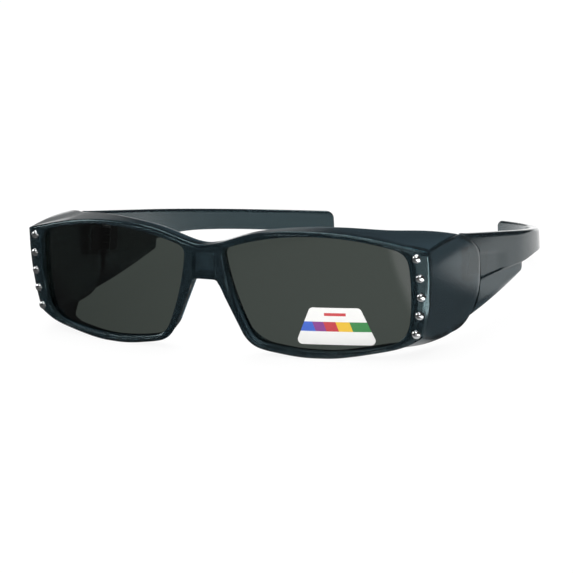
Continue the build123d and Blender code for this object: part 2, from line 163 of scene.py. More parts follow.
def math_method(operation, reflected=False):
    """The method of one operator, with its sides swapped where the signal stands on the right."""
    def method(self, other):
        sides = [other, self] if reflected else [self, other]
        return self.graph.add("ShaderNodeMath", {"operation": operation}, sides)
    return method


class Signal:
    """A shader socket that takes part in Python sums: each operator adds its Math node."""

    def __init__(self, graph, socket):
        self.graph = graph
        self.socket = socket

    __add__ = __radd__ = math_method("ADD")
    __mul__ = __rmul__ = math_method("MULTIPLY")
    __sub__, __rsub__ = math_method("SUBTRACT"), math_method("SUBTRACT", True)
    __gt__, __lt__ = math_method("GREATER_THAN"), math_method("LESS_THAN")


class Graph:
    """A material's or the world's node tree, with one method that adds any node."""

    def __init__(self, tree):
        self.tree = tree
        tree.nodes.clear()

    def add(self, kind, settings=None, inputs=None, output=0):
        """Adds a node: its settings first, then its sockets by name or place; returns one output."""
        node = self.tree.nodes.new(kind)
        for name, value in (settings or {}).items():
            if name == "stops":
                ramp = node.color_ramp
                while len(ramp.elements) < len(value):
                    ramp.elements.new(0.5)
                for element, (place, color) in zip(ramp.elements, value):
                    element.position = place
                    element.color = (*color, 1.0)
            else:
                setattr(node, name, value)
        pairs = enumerate(inputs) if isinstance(inputs, list) else (inputs or {}).items()
        for name, value in pairs:
            if isinstance(value, Signal):
                self.tree.links.new(value.socket, node.inputs[name])
            elif value is not None:
                node.inputs[name].default_value = value
        return Signal(self, node.outputs[output]) if len(node.outputs) else None

    def mix_color(self, factor, first, second):
        """A blend of two colours by a factor."""
        inputs = {0: factor, 6: as_color(first), 7: as_color(second)}
        return self.add("ShaderNodeMix", {"data_type": "RGBA"}, inputs, 2)

    def close(self, inputs, depth=None):
        """Ends a material: a Principled shader with these inputs, and what darkens the inside, if anything."""
        shader = self.add("ShaderNodeBsdfPrincipled", None, inputs)
        self.add("ShaderNodeOutputMaterial", None, {"Surface": shader, "Volume": depth})

    def channels(self, kind, **more):
        """The x, y and z signals of the vector that a node gives."""
        vector = self.add(kind, **more)
        parts = self.add("ShaderNodeSeparateXYZ", None, [vector]).socket.node
        return [Signal(self, part) for part in parts.outputs]

    def ray(self, *kinds):
        """For each kind of ray named, 1 where the light path is of that kind, else 0."""
        path = self.add("ShaderNodeLightPath").socket.node
        return [Signal(self, path.outputs[f"Is {kind} Ray"]) for kind in kinds]


def as_color(value):
    """A colour with its alpha, or a link as it is."""
    return value if isinstance(value, Signal) else (*value[:3], 1.0)


def new_material(name):
    """An empty node material and its graph."""
    material = bpy.data.materials.new(name)
    material.use_nodes = True
    return material, Graph(material.node_tree)


def object_point(graph):
    """The point on the piece, in metres."""
    return graph.add("ShaderNodeTexCoord", output="Object")


def noise(graph, point, scale, detail=3.0, roughness=0.5):
    """Soft noise between 0 and 1, with its scale in lumps per metre."""
    inputs = {"Vector": point, "Scale": scale, "Detail": detail, "Roughness": roughness}
    return graph.add("ShaderNodeTexNoise", None, inputs, "Fac")


def bump(graph, height, distance):
    """A Bump node's normal, from a height between 0 and 1 and its depth in metres."""
    return graph.add("ShaderNodeBump", None, {"Distance": distance, "Height": height})


def see_through(name, settings, grain, wear):
    """A material that refracts and darkens with depth, its graph, its inputs and its depth.

    Its roughness is the polished one plus the wear times soft noise squared; grain is the noise's scale in
    lumps per metre, its detail and its roughness."""
    material, graph = new_material(name)
    marks = noise(graph, object_point(graph), *grain)
    glass = {"Roughness": marks * marks * wear + settings.roughness, "IOR": settings.ior}
    depth = graph.add("ShaderNodeVolumeAbsorption", None,
                      {"Color": as_color(settings.stain), "Density": settings.density})
    return material, graph, glass, depth


def smoke_plastic(settings):
    """Clear smoke plastic: it refracts, darkens with depth, and has a faint ripple and handling marks."""
    material, graph, glass, depth = see_through("smoke_plastic", settings, (90.0, 4.0, 0.6), settings.wear)
    ripple = noise(graph, object_point(graph), 60.0, 1.0)
    graph.close({
        **glass,
        "Base Color": as_color(settings.body),
        "Transmission Weight": settings.clear,
        "Specular Tint": as_color(settings.sheen),
        "Normal": bump(graph, ripple, settings.ripple),
    }, depth)
    return material


def dark_lens(settings):
    """A polished tinted lens that lets through a few hundredths of the light, with faint smudges."""
    material, graph, glass, depth = see_through("dark_lens", settings, (45.0, 5.0, 0.55), settings.smudge)
    graph.close({**glass, "Base Color": WHITE, "Transmission Weight": 1.0}, depth)
    return material


def rolled_metal(settings, name, color):
    """Satin metal with fine scratches along its rolling direction."""
    material, graph = new_material(name)
    drawn = graph.add("ShaderNodeMapping", None, {"Vector": object_point(graph), "Scale": (1.0, 1.0, 12.0)})
    grain = noise(graph, drawn, 1500.0, 2.0)
    graph.close({
        "Base Color": graph.mix_color(grain, [0.8 * c for c in color], color),
        "Metallic": 1.0,
        "Roughness": grain * 0.2 + settings.roughness,
        "Normal": bump(graph, grain, 0.00001),
    })
    return material


def silvered_stone(settings):
    """A foil-backed stone, mirror bright on each facet, a little duller in spots."""
    material, graph = new_material("silvered_stone")
    spots = noise(graph, object_point(graph), 1800.0, 2.0)
    graph.close({
        "Base Color": graph.mix_color(spots, settings.color, [0.85 * c for c in settings.color]),
        "Metallic": 1.0,
        "Roughness": spots * 0.1 + settings.roughness,
        "Coat Weight": 1.0,
    })
    return material


# The label's print: where each stripe starts along the band with its colour, and the plain rule's foot, top,
# left and right ends as shares of the label
STRIPES = [(0.0, (0.01, 0.1, 0.6)), (0.3, (0.22, 0.01, 0.25)), (0.44, (0.55, 0.005, 0.02)),
           (0.6, (0.85, 0.52, 0.0)), (0.78, (0.0, 0.22, 0.03))]
RULE_FOOT, RULE_TOP, RULE_LEFT, RULE_RIGHT = 0.78, 0.86, 0.36, 0.64
RULE_COLOR = (0.6, 0.02, 0.03)


def printed_paper(settings):
    """Matt paper with a band of slanted colour stripes, by the label's own UV map."""
    material, graph = new_material("printed_paper")
    across, up, _ = graph.channels("ShaderNodeUVMap", settings={"uv_map": "label"})
    stripes = graph.add("ShaderNodeValToRGB", {"stops": STRIPES}, [across + up * settings.slant])
    stripes.socket.node.color_ramp.interpolation = "CONSTANT"
    band = (up > settings.band_low) * (up < settings.band_high)
    rule = (up > RULE_FOOT) * (up < RULE_TOP) * (across > RULE_LEFT) * (across < RULE_RIGHT)
    ink = graph.mix_color(rule * settings.ink, settings.paper, RULE_COLOR)
    ink = graph.mix_color(band * settings.ink, ink, stripes)
    fibre = noise(graph, object_point(graph), 2500.0, 3.0)
    graph.close({
        "Base Color": graph.mix_color(fibre * 0.06, ink, (0.7, 0.7, 0.7)),
        "Roughness": fibre * 0.2 + 0.5,
        "Specular IOR Level": 0.15,
        "Normal": bump(graph, fibre, 0.00002),
    })
    return material


def fade(value, low, high):
    """A smooth rise from 0 to 1 as a signal goes from low to high, which may be the lesser of the two."""
    return value.graph.add("ShaderNodeMapRange", {"interpolation_type": "SMOOTHSTEP"},
                           {"Value": value, "From Min": low, "From Max": high})


def dress(obj, material):
    """Gives an object this one material."""
    obj.data.materials.clear()
    obj.data.materials.append(material)


# The front, in millimetres: x from its middle, y back from the face's foremost line, z up from its foot.
# Half its width, its height, the face's radius in plan and the rounding of the face's border
HALF_WIDTH, HEIGHT, FACE_RADIUS, EDGE = 69.8, 39.1, 217.0, 0.9
# How far the rim's back and the lens lie behind the face, the lens's thickness and the depth of its groove
RIM, LENS_DEPTH, LENS_THICK, GROOVE = 4.4, 2.2, 1.1, 0.8
# How far the lens reaches into the groove, its play there, and how far its rim is set in to round it
LENS_HOLD, LENS_PLAY, LENS_ROUND = 0.75, 0.03, 0.16
# The walls of the frame, of the side shields and of the nose
WALL, SHIELD_WALL, NOSE_WALL = 1.9, 2.2, 0.8
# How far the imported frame's origin lies behind the face's foremost line, and the temples' droop in radians
AHEAD, DROOP = 79.1023, 0.20158617
# The bowed sides: the height of their widest line, the bow's radius where they leave the face and at the
# shields' rear, and those two places
WIDEST_Z, BOW, REAR_BOW, SIDE_START, SHIELD_REAR = 26.98, 67.0, 140.0, 11.52, 51.2
# The ends of the face's side, the bridge's foot, top and half its foot's width, and the nose's lower end
SHOULDER_Z, CHEEK_Z = 32.8, 6.69
BRIDGE_FOOT, BRIDGE_TOP, BRIDGE_HALF, NOSE_FOOT = 22.678, 33.802, 4.0, (12.0, 6.3)
# How far the face's border and the opening lie behind the line midway between them
CROWN = 0.3
# The bridge's panel: its depth, half its width at the top, what each side has gained 2 mm below the bridge's
# foot, its soft edge and its top
PANEL_DEPTH, PANEL_HALF, PANEL_FLARE, PANEL_SOFT, PANEL_TOP = 1.0, 3.2, 0.8, 0.6, BRIDGE_TOP - 2.6
# The hollow about the panel: its depth, how far out it starts and its slope's length; then how far out the
# raised bead lies and its width
HOLLOW, HOLLOW_OUT, HOLLOW_SLOPE, BEAD_OUT, BEAD_WIDTH = 0.3, 2.2, 1.4, 0.45, 0.32
# Distances from the middle between which the nose's shape fades out of the lower edge, and the shield's bow
# fades into the brow and into the lower edge
NOSE_FADE, SHOULDER_FADE, CHEEK_FADE = (21.0, 13.0), (52.0, 69.0), (50.0, 66.6)
# How far at least the outer wall runs back past the rim's back, four times the rise of the shield's top line
# over a straight one, and the nose's draft
LEAST_RUN, SHIELD_ARCH, NOSE_DRAFT = 1.25, 2.6, math.radians(20)
# The rounding of the opening's border on the face and on the rim's back
LIP_ROUND, BACK_ROUND = 0.6, 0.4
# Heights on the opening's inner side that face the bridge's corner and the foot of its middle, and the number
# of sections up that middle
BRIDGE_MEETS, BRIDGE_STEPS = (23.4, 26.0), 26


def curve(points, count):
    """A smooth line through points: a natural cubic over chord length, at even steps of it."""
    points = np.asarray(points, float)
    n = len(points)
    t = np.r_[0, np.cumsum(np.linalg.norm(np.diff(points, axis=0), axis=1))]
    h = np.diff(t)
    a = np.diag(np.r_[1, 2 * (h[:-1] + h[1:]), 1]) + np.diag(np.r_[0, h[1:]], 1) + np.diag(np.r_[h[:-1], 0], -1)
    slope = np.diff(points, axis=0) / h[:, None]
    b = np.zeros_like(points)
    b[1:-1] = 6 * np.diff(slope, axis=0)
    m = np.linalg.solve(a, b)
    s = np.linspace(0, t[-1], count)
    k = np.clip(np.searchsorted(t, s, side="right") - 1, 0, n - 2)
    left, right, step = (t[k + 1] - s)[:, None], (s - t[k])[:, None], h[k][:, None]
    bend = (m[k] * left**3 + m[k + 1] * right**3) / (6 * step)
    return bend + (points[k] / step - m[k] * step / 6) * left + (points[k + 1] / step - m[k + 1] * step / 6) * right


def evened(points, count, closed=False):
    """A line resampled at even steps along its length."""
    points = np.asarray(points, float)
    if closed:
        points = np.vstack([points, points[:1]])
    along = np.r_[0, np.cumsum(np.linalg.norm(np.diff(points, axis=0), axis=1))]
    at = np.linspace(0, along[-1], count, endpoint=not closed)
    return np.stack([np.interp(at, along, axis) for axis in points.T], 1)


def softened(loop, softness):
    """A closed loop of even steps with each point moved to the bell-weighted mean of those around it.

    The width of the bell, in millimetres, is given for each point and sets how round a corner is."""
    n = len(loop)
    step = np.linalg.norm(np.diff(loop, axis=0), axis=1).mean()
    gap = np.abs(np.arange(n)[:, None] - np.arange(n)[None])
    gap = np.minimum(gap, n - gap) * step
    weight = np.exp(-0.5 * (gap / np.asarray(softness).reshape(-1, 1))**2)
    return weight @ loop / weight.sum(1, keepdims=True)


def near_corners(loop, corners, widths, plain, spread):
    """A width for each point of a loop: plain, rising to each corner's own within spread times that width."""
    width = np.full(len(loop), plain)
    for corner, size in zip(corners, widths):
        gap = np.linalg.norm(loop - corner, axis=1)
        width += (size - plain) * step_up(1 - gap / (spread * size))
    return width


def step_up(value):
    """A smooth step from 0 to 1 as the value goes from 0 to 1: its square times three less twice it."""
    value = np.clip(value, 0, 1)
    return value * value * (3 - 2 * value)


def unit(vectors):
    """Each row of an array divided by its length."""
    return vectors / np.linalg.norm(vectors, axis=1, keepdims=True)


def outward(loop):
    """Unit normals to the left of a closed loop's way."""
    way = unit(np.roll(loop, -1, 0) - np.roll(loop, 1, 0))
    return np.stack([-way[:, 1], way[:, 0]], 1)


def bowed(start, end, bow, count):
    """An arc from start towards end that stands out to the left of its way by a bow, without its end.

    Its radius is a quarter of the chord squared plus the bow squared, over twice the bow."""
    start, end = np.array(start), np.array(end)
    run = end - start
    chord = np.linalg.norm(run)
    radius = (chord**2 / 4 + bow**2) / (2 * bow)
    half = math.asin(chord / 2 / radius)
    turn = np.linspace(-half, half, count, endpoint=False)[:, None]
    along, left = run / chord, np.array([-run[1], run[0]]) / chord
    return (start + end) / 2 + left * (bow - radius) + radius * (np.sin(turn) * along + np.cos(turn) * left)


def layer_y(x, depth):
    """How far back the layer at a depth behind the face lies: an arc about the face's own centre.

    The face's radius less the root of (the radius less the depth) squared less x squared."""
    return FACE_RADIUS - np.sqrt((FACE_RADIUS - depth)**2 - x**2)


def laid_back(points, depth):
    """Points of the front view laid on the layer at a depth behind the face."""
    return np.stack([points[..., 0], layer_y(points[..., 0], depth), points[..., 1]], -1)


def side_x(y, z):
    """The bowed side: in front view a circle through the widest line, whose radius grows evenly to the rear."""
    bow = BOW + (y - SIDE_START) * (REAR_BOW - BOW) / (SHIELD_REAR - SIDE_START)
    return HALF_WIDTH - bow + np.sqrt(bow**2 - (z - WIDEST_Z)**2)


def opening_loop(count):
    """The lens opening, clockwise from its upper inner corner: four bowed sides with soft corners."""
    corners = [(6.3, 32.6), (63.3, 32.4), (62.4, 5.2), (15.4, 4.6)]
    bows = [4.9, 1.15, 2.8, 1.4]
    sides = [bowed(a, b, bow, 400) for a, b, bow in zip(corners, corners[1:] + corners[:1], bows)]
    loop = evened(np.vstack(sides), count, True)
    width = near_corners(loop, corners, widths=[1.7, 2.5, 4.2, 2.4], plain=0.3, spread=5.0)
    return softened(loop, width), np.array(corners)


def front_loop(count):
    """The whole front seen from ahead, clockwise from the middle of its top, with softened corners."""
    brow = [(0.115, 0.906), (0.22, 0.961), (0.37, 0.997), (0.47, 1.0), (0.63, 0.983), (0.79, 0.934)]
    shoulder, cheek = ((float(side_x(SIDE_START, z)), z) for z in (SHOULDER_Z, CHEEK_Z))
    top = [(x * HALF_WIDTH, z * HEIGHT) for x, z in brow] + [shoulder]
    top = [(-x, z) for x, z in reversed(top)] + [(0, BRIDGE_TOP)] + top
    top = curve(top, 1201)[600:]
    side_z = np.linspace(shoulder[1], cheek[1], 200)
    side = np.stack([side_x(SIDE_START, side_z), side_z], 1)
    foot = curve([cheek, (62, 4.14), (54, 2.07), (46.1, 0.74), (39.1, 0.03), (36, 0.0), (33, 0.03), (28.6, 0.35),
                  (20.9, 1.49), (16.4, 2.54), (13.9, 4.07), NOSE_FOOT], 500)
    foot[:, 1] = np.maximum(foot[:, 1], 0)
    half = np.vstack([top, side, foot, [(BRIDGE_HALF, BRIDGE_FOOT), (0, BRIDGE_FOOT)]])
    half = evened(half, count // 2 + 1)
    loop = np.vstack([half, (half * [-1, 1])[-2:0:-1]])
    corners = np.array([shoulder, cheek, (BRIDGE_HALF, BRIDGE_FOOT)])
    both = np.vstack([corners, corners * [-1, 1]])
    width = near_corners(loop, both, widths=[0.9, 1.1, 0.8] * 2, plain=0.35, spread=6.0)
    return softened(loop, width), np.vstack([corners, [NOSE_FOOT]])


def stretch(loop, start, end, count, last=False):
    """Even steps along a loop from one point number to another, forward round the loop."""
    end = end if end > start else end + len(loop)
    at = np.linspace(start, end, count, endpoint=last)
    low = np.floor(at).astype(int)
    part = (at - low)[:, None]
    return loop[low % len(loop)] * (1 - part) + loop[(low + 1) % len(loop)] * part


def nearest(loop, point):
    """Number of the loop's point nearest to a point."""
    return int(np.argmin(np.linalg.norm(loop - point, axis=1)))


def belts(index):
    """Quads between neighbouring rows of a grid of point numbers, each row closed on itself."""
    beside = np.roll(index, -1, 1)
    return np.stack([index[:-1], beside[:-1], beside[1:], index[1:]], 2).reshape(-1, 4)


def panel_depth(x, z):
    """Depth of the panel sunk in the bridge, open at its foot, plus the hollow about it less the bead's bell.

    The panel's edges are smooth steps of the way in from its sides and its top."""
    half = PANEL_HALF + PANEL_FLARE * (PANEL_TOP - z) / (PANEL_TOP - BRIDGE_FOOT + 2)
    beside, above = half - np.abs(x), PANEL_TOP - z
    gap = np.minimum(beside, above)
    hollow = step_up((gap + HOLLOW_OUT) / HOLLOW_SLOPE) - np.exp(-((gap + BEAD_OUT) / BEAD_WIDTH)**2)
    sunk = step_up(beside / PANEL_SOFT + 0.5) * step_up(above / PANEL_SOFT + 0.5)
    return PANEL_DEPTH * sunk + HOLLOW * hollow


# How far back the brow shelf runs at the side, and lines of points: (share of the shield's depth, share of the
# front's height) down the shield's rear edge, (share of the half width, share of the shelf's run) along the rear
# edges of the shelf and the lower lip, and (y, z) back along the cheek's lower edge
SHELF_RUN = 36.0
SHIELD_EDGE = [(0.722, 0.842), (0.834, 0.775), (0.918, 0.7), (0.977, 0.632), (0.998, 0.53), (1.0, 0.4),
               (0.99, 0.304), (0.953, 0.222), (0.9, 0.145), (0.815, 0.088), (0.7, 0.073)]
SHELF = [(0.0, 0.135), (0.21, 0.15), (0.40, 0.235), (0.57, 0.365), (0.74, 0.54), (0.87, 0.79), (1.0, 1.02)]
LIP = [(0.0, 0.135), (0.21, 0.145), (0.40, 0.185), (0.57, 0.24), (0.74, 0.33), (0.87, 0.6), (0.965, 0.99)]
CHEEK_LINE = [(11.0, CHEEK_Z), (14.5, 5.4), (19.5, 4.1), (25.0, 3.35), (30.0, 3.0), (35.8, 2.85)]


def shield_edge():
    """The side shield's rear edge from its top down, as 1001 even steps seen from the side."""
    return evened(curve([(back * SHIELD_REAR, up * HEIGHT) for back, up in SHIELD_EDGE], 400), 1001)


def reach(shares, x):
    """How far back the shelf or the lip runs at a distance from the middle."""
    return np.interp(x, *curve([(a * HALF_WIDTH, b * SHELF_RUN) for a, b in shares], 300).T)


# The hinge's middle (x, y, z); the boss's half height, its ends along the plate, its face's place and its soft
# edge; the leaf pocket's half height, length, depth and soft edge; and the knuckle room's half height, ends and
# depth
HINGE = (65.25, 51.375, 20.5)
BOSS_TALL, BOSS_FRONT, BOSS_BACK, BOSS_X, BOSS_SOFT = 4.8, -10.5, -1.9, 65.7, 0.6
LEAF_TALL, LEAF_LONG, LEAF_DEEP, LEAF_SOFT = 3.66, 8.02, 0.94, 0.25
KNUCKLE_TALL, KNUCKLE_FRONT, KNUCKLE_BACK, KNUCKLE_DEEP = 5.0, -2.0, 1.9, 1.45


def hinge_axes(y, z):
    """Places along and across the hinge's plates of a point seen from the side."""
    y, z = y - HINGE[1], z - HINGE[2]
    return y * math.cos(DROOP) - z * math.sin(DROOP), y * math.sin(DROOP) + z * math.cos(DROOP)


def rise(value, low, high):
    """A smooth step from 0 to 1 as a value goes from low to high."""
    return step_up((value - low) / (high - low))


def within(value, low, high, soft):
    """1 between two limits and 0 outside, with a soft edge on each."""
    return step_up((value - low) / soft + 0.5) * step_up((high - value) / soft + 0.5)


def face_and_rim(border, back_border, mouth, mouth_out):
    """The face from its border to the opening, the opening's wall with the lens groove, and the rim's back.

    Across the face the sink is the crown times the square of the place, which runs from -1 to 1."""
    share = np.linspace(0, 1, 26)[None, :, None]
    lip = mouth + LIP_ROUND * mouth_out
    face = border[:, None] * (1 - share) + lip[:, None] * share
    crown = CROWN * (2 * share[..., 0] - 1)**2
    lines = [laid_back(face, crown + panel_depth(face[..., 0], face[..., 1]))]
    sink = panel_depth(mouth[:, 0], mouth[:, 1]) + CROWN
    lens_back = LENS_DEPTH + LENS_THICK
    steps = [(LIP_ROUND * (1 - math.sin(turn)), sink + LIP_ROUND * (1 - math.cos(turn)))
             for turn in map(math.radians, (30, 60, 90))]
    steps += [(0, LENS_DEPTH), (GROOVE, LENS_DEPTH), (GROOVE, lens_back), (0, lens_back), (0, RIM - BACK_ROUND),
              (0.12, RIM - 0.12), (BACK_ROUND, RIM)]
    lines += [laid_back(mouth + out * mouth_out, depth)[:, None] for out, depth in steps]
    share = np.linspace(0, 1, 8)[None, 1:, None]
    first = (mouth + BACK_ROUND * mouth_out)[:, None]
    return np.concatenate([*lines, laid_back(first * (1 - share) + back_border[:, None] * share, RIM)], 1)


def front_half():
    """Half of the moulded front as closed sections that follow the lens opening round.

    A section starts on the face at the outline, crosses the face to the opening, goes in past the lens
    groove, crosses the rim's back, runs back inside the wall, round its rear edge, and forward on its outside.
    Sections at the middle of the bridge have only the part from the face to the rim's back.
    Returns points and faces; the cut ends lie on x = 0.
    """
    loop, anchors = front_loop(1800)
    hole, corners = opening_loop(1400)
    wide = outward(loop)
    even = unit(softened(wide, np.full(len(wide), 1.6)))
    hole_out = outward(hole)
    shoulder, cheek, bridge, foot = [nearest(loop, point) for point in anchors]
    upper_in, upper_out, lower_out, lower_in = [nearest(hole, point) for point in corners]
    outer_part = 100 * (hole[:, 0] >= 16)
    low_side, mid_side = (int(np.argmin(np.abs(hole[:, 1] - z) + outer_part)) for z in BRIDGE_MEETS)
    # Each run's first and last point on the outline, those on the opening, and its number of sections
    runs = [(0, shoulder, upper_in, upper_out, 150), (shoulder, cheek, upper_out, lower_out, 80),
            (cheek, foot, lower_out, lower_in, 140), (foot, bridge, lower_in, low_side, 46),
            (bridge, len(loop) // 2, low_side, mid_side, 12)]
    count = [run[4] for run in runs]

    def along(line, first, second):
        """A line's points at each section, from the columns of the runs that hold their first and last point."""
        parts = [stretch(line, run[first], run[second], run[4]) for run in runs]
        return np.vstack(parts + [line[[runs[-1][second]]]])

    rim, normal, soft = along(loop, 0, 1), unit(along(wide, 0, 1)), unit(along(even, 0, 1))
    rim[[0, -1], 0] = 0
    normal[[0, -1], 0] = soft[[0, -1], 0] = 0
    mouth, mouth_out = along(hole, 2, 3), along(hole_out, 2, 3)
    middle_hole, middle_out = (stretch(line, mid_side, upper_in, BRIDGE_STEPS, True) for line in (hole, hole_out))

    n = len(rim)
    rim_x, rim_z = rim[:, :1], rim[:, 1:]
    part = np.r_[np.repeat(np.arange(5), count), 4]
    place = np.concatenate([np.linspace(0, 1, c, endpoint=False) for c in count] + [[1.0]])

    # Where each outer line ends at the rear: on the shelf's or the lip's edge, or down the shield's own
    face_y = layer_y(rim[:, 0], 0.0)
    nose = np.where(part >= 3, 1.0, np.where(part == 2, rise(rim[:, 0], *NOSE_FADE), 0.0))
    depth = np.where(part == 0, reach(SHELF, rim[:, 0]), reach(LIP, rim[:, 0]))
    rear = np.stack([rim[:, 0], np.maximum(depth, layer_y(rim[:, 0], RIM) + LEAST_RUN), rim[:, 1]], 1)
    edge = shield_edge()
    on_side = part == 1
    for axis in (0, 1):
        rear[on_side, axis + 1] = np.interp(place[on_side], np.linspace(0, 1, 1001), edge[:, axis])
    cheek_line = curve(CHEEK_LINE, 200)
    thick = np.where(on_side, SHIELD_WALL, WALL) * (1 - nose) + NOSE_WALL * nose

    # How it gets there: evenly, then bowed and drafted; the shield's bow fades into the brow and the lower edge
    steps = 26
    q = np.linspace(0, 1, steps)[None]
    start_y = (face_y + EDGE)[:, None]
    y = start_y + (rear[:, 1:2] - start_y) * q
    z = rim_z + (rear[:, 2:] - rim_z) * q
    x = np.repeat(rim_x, steps, 1)
    side = place[:, None]
    under = np.interp(y, *cheek_line.T)
    sag = under - (rim_z + (CHEEK_LINE[-1][1] - rim_z) * q)
    arch = SHIELD_ARCH * q * (1 - q)
    z = np.where(on_side[:, None], z + side**3 * sag + (1 - side)**3 * arch, z)
    x = np.where(on_side[:, None], side_x(y, z), x)
    by_shoulder = np.where(part == 0, rise(rim[:, 0], *SHOULDER_FADE), 0)[:, None]
    z = z + by_shoulder * np.interp(y, y[count[0]], arch[0])
    x = x + by_shoulder * np.interp(y, y[count[0]], x[count[0]] - rim_x[count[0]])
    by_cheek = np.where(part == 2, rise(rim[:, 0], *CHEEK_FADE), 0)[:, None]
    z = z + by_cheek * (under - cheek_line[0, 1])
    x = x + by_cheek * (side_x(y, under) - rim_x[count[0] + count[1]])
    draft = -(y - face_y[:, None]) * math.tan(NOSE_DRAFT) * nose[:, None]
    x, z = x + draft * soft[:, :1], z + draft * soft[:, 1:]
    outer = np.stack([x, y, z], 2)
    flat = np.stack([soft[:, 0], np.zeros(n), soft[:, 1]], 1)

    # The last stretch of each outer line gives way to a half-round rear edge
    way = unit(outer[:, -1] - outer[:, -3])
    length = np.linalg.norm(outer[:, -1] - outer[:, 0], axis=1)
    keep = 1 - (thick / 2) / length

    def on_outer(share):
        """Points at shares of the outer lines' lengths."""
        at = share * (steps - 1)
        low = np.clip(np.floor(at).astype(int), 0, steps - 2)
        part_way = (at - low)[..., None]
        row = np.arange(n)[:, None]
        return outer[row, low] * (1 - part_way) + outer[row, low + 1] * part_way

    outside = on_outer(keep[:, None] * np.linspace(0, 1, 24)[None])
    back_y = layer_y(rim[:, 0] - thick * soft[:, 0], RIM)
    back_share = np.clip((back_y - start_y[:, 0]) / (rear[:, 1] - start_y[:, 0]), 0, keep - 0.01)
    inside = on_outer(back_share[:, None] + (keep - back_share)[:, None] * np.linspace(0, 1, 34)[None]**0.8)
    inside = inside - (thick[:, None] * flat)[:, None]
    # The hinge's boss on the inside of the shield, with the leaf's pocket in it
    back, up = hinge_axes(inside[..., 1], inside[..., 2])
    boss = within(up, -BOSS_TALL, BOSS_TALL, BOSS_SOFT) * within(back, BOSS_FRONT, BOSS_BACK, BOSS_SOFT)
    boss = boss * (inside[..., 0] > BOSS_X - 5.7)
    plate = within(up, -LEAF_TALL, LEAF_TALL, LEAF_SOFT) * within(back, -LEAF_LONG, 3.0, LEAF_SOFT)
    inside[..., 0] += boss * (BOSS_X + LEAF_DEEP * plate - inside[..., 0])
    turn = np.linspace(-np.pi / 2, np.pi / 2, 7)[1:-1]
    centre = outside[:, -1] - thick[:, None] / 2 * flat
    round_edge = centre[:, None] + (thick / 2)[:, None, None] * (
        np.sin(turn)[None, :, None] * flat[:, None] + np.cos(turn)[None, :, None] * way[:, None])

    sink = (panel_depth(rim[:, 0], rim[:, 1]) + CROWN)[:, None]
    border = rim - EDGE * normal
    back_border = inside[:, 0][:, [0, 2]]
    ahead = face_and_rim(border, back_border, mouth, mouth_out)
    turn = np.linspace(0, np.pi / 2, 6)[1:-1][None]
    corner_flat = rim[:, None] - EDGE * (1 - np.cos(turn)[..., None]) * normal[:, None]
    corner = laid_back(corner_flat, EDGE * (1 - np.sin(turn)) + sink)
    ring = np.concatenate([ahead, inside[:, 1:], round_edge, outside[:, ::-1], corner], 1)

    def middle_line(low, high):
        """Even steps up the middle of the bridge between two heights."""
        return np.stack([np.zeros(BRIDGE_STEPS), low + (high - low) * np.linspace(0, 1, BRIDGE_STEPS)], 1)

    middle = face_and_rim(middle_line(BRIDGE_FOOT + EDGE, BRIDGE_TOP - EDGE),
                          middle_line(back_border[-1, 1], back_border[0, 1]), middle_hole, middle_out)
    m, total = ahead.shape[1], ring.shape[1]
    points = np.vstack([ring.reshape(-1, 3), middle[1:-1].reshape(-1, 3)])
    row = np.arange(n * total).reshape(n, total)
    rest = n * total + np.arange((BRIDGE_STEPS - 2) * m).reshape(-1, m)
    belt = np.vstack([row[-1:, :m], rest, row[:1, :m]])
    low, high = belt[:-1], belt[1:]
    bridge = np.stack([low[:, :-1], low[:, 1:], high[:, 1:], high[:, :-1]], 2).reshape(-1, 4)
    return points, np.vstack([belts(row), bridge])


# The temple: its thickness, how far its top starts below the front's, the bar's height and run, and its splay;
# then the place of its outer face and of its joint, its straight run, and the hook's radius and run
THICK, DROP, BAR_HEIGHT, BAR_RUN, SPLAY = 3.4, 6.8, 15.2, 119.0, math.radians(0.8)
OUTER_X, BAR_START, STRAIGHT, HOOK_RADIUS, HOOK_RUN = 69.1, 39.2, 40.5, 101.4, 89.0
# The bar's lower edge (share of its run, share of its height below the top) and the wing's ends (y, z)
BAR_SHARES = [(0.0, 1.14), (0.12, 0.99), (0.26, 0.825), (0.42, 0.65), (0.505, 0.55), (0.62, 0.495), (0.8, 0.49),
              (1.0, 0.525)]
WING_FRONT_FOOT, WING_REAR_FOOT, WING_END, WING_SAG = (BAR_START, 4.7), (85.3, 8.9), (87.2, 12.39), 2.8
# The radii of the temple's edges at the joint, at the tip seen from the side, and at the tip seen from above;
# its gap to the shield's rear edge, and the foremost place it starts at
JOINT_ROUND, TIP_ROUND, TIP_THIN, JOINT_GAP, FOREMOST = 0.5, 2.6, 0.8, 0.35, 42.2
# The wing's outer and inner insets, and the inset at which both faces meet
WING_OUTER, WING_INNER, WING_MEET = 0.6, 2.9, 1.85
# Runs from which sections lie at the same place for all columns, and between which they lie closest
EVEN_FROM, FINE_FROM, FINE_TO = 22.8, 45.2, 48.6
# The shallow panel on the outer face: its depth, how far below the bar's top it starts, its height, how much
# of that it loses to its rear end, its soft edge, and that end
RELIEF, RELIEF_DOWN, RELIEF_HEIGHT, RELIEF_TAPER, RELIEF_SOFT = 0.3, 6.4, 9.8, 4.2, 1.4
RELIEF_END = SHIELD_REAR + 17.5


def bar_top(y):
    """Height of the bar's top edge: its height at the joint less the way back times the droop's tangent."""
    return HEIGHT - DROP - (y - BAR_START) * math.tan(DROOP)


def bar_foot(y):
    """Height of the bar's lower edge."""
    line = [(BAR_START + a * BAR_RUN, bar_top(BAR_START + a * BAR_RUN) - b * BAR_HEIGHT) for a, b in BAR_SHARES]
    return np.interp(y, *curve(line, 600).T)


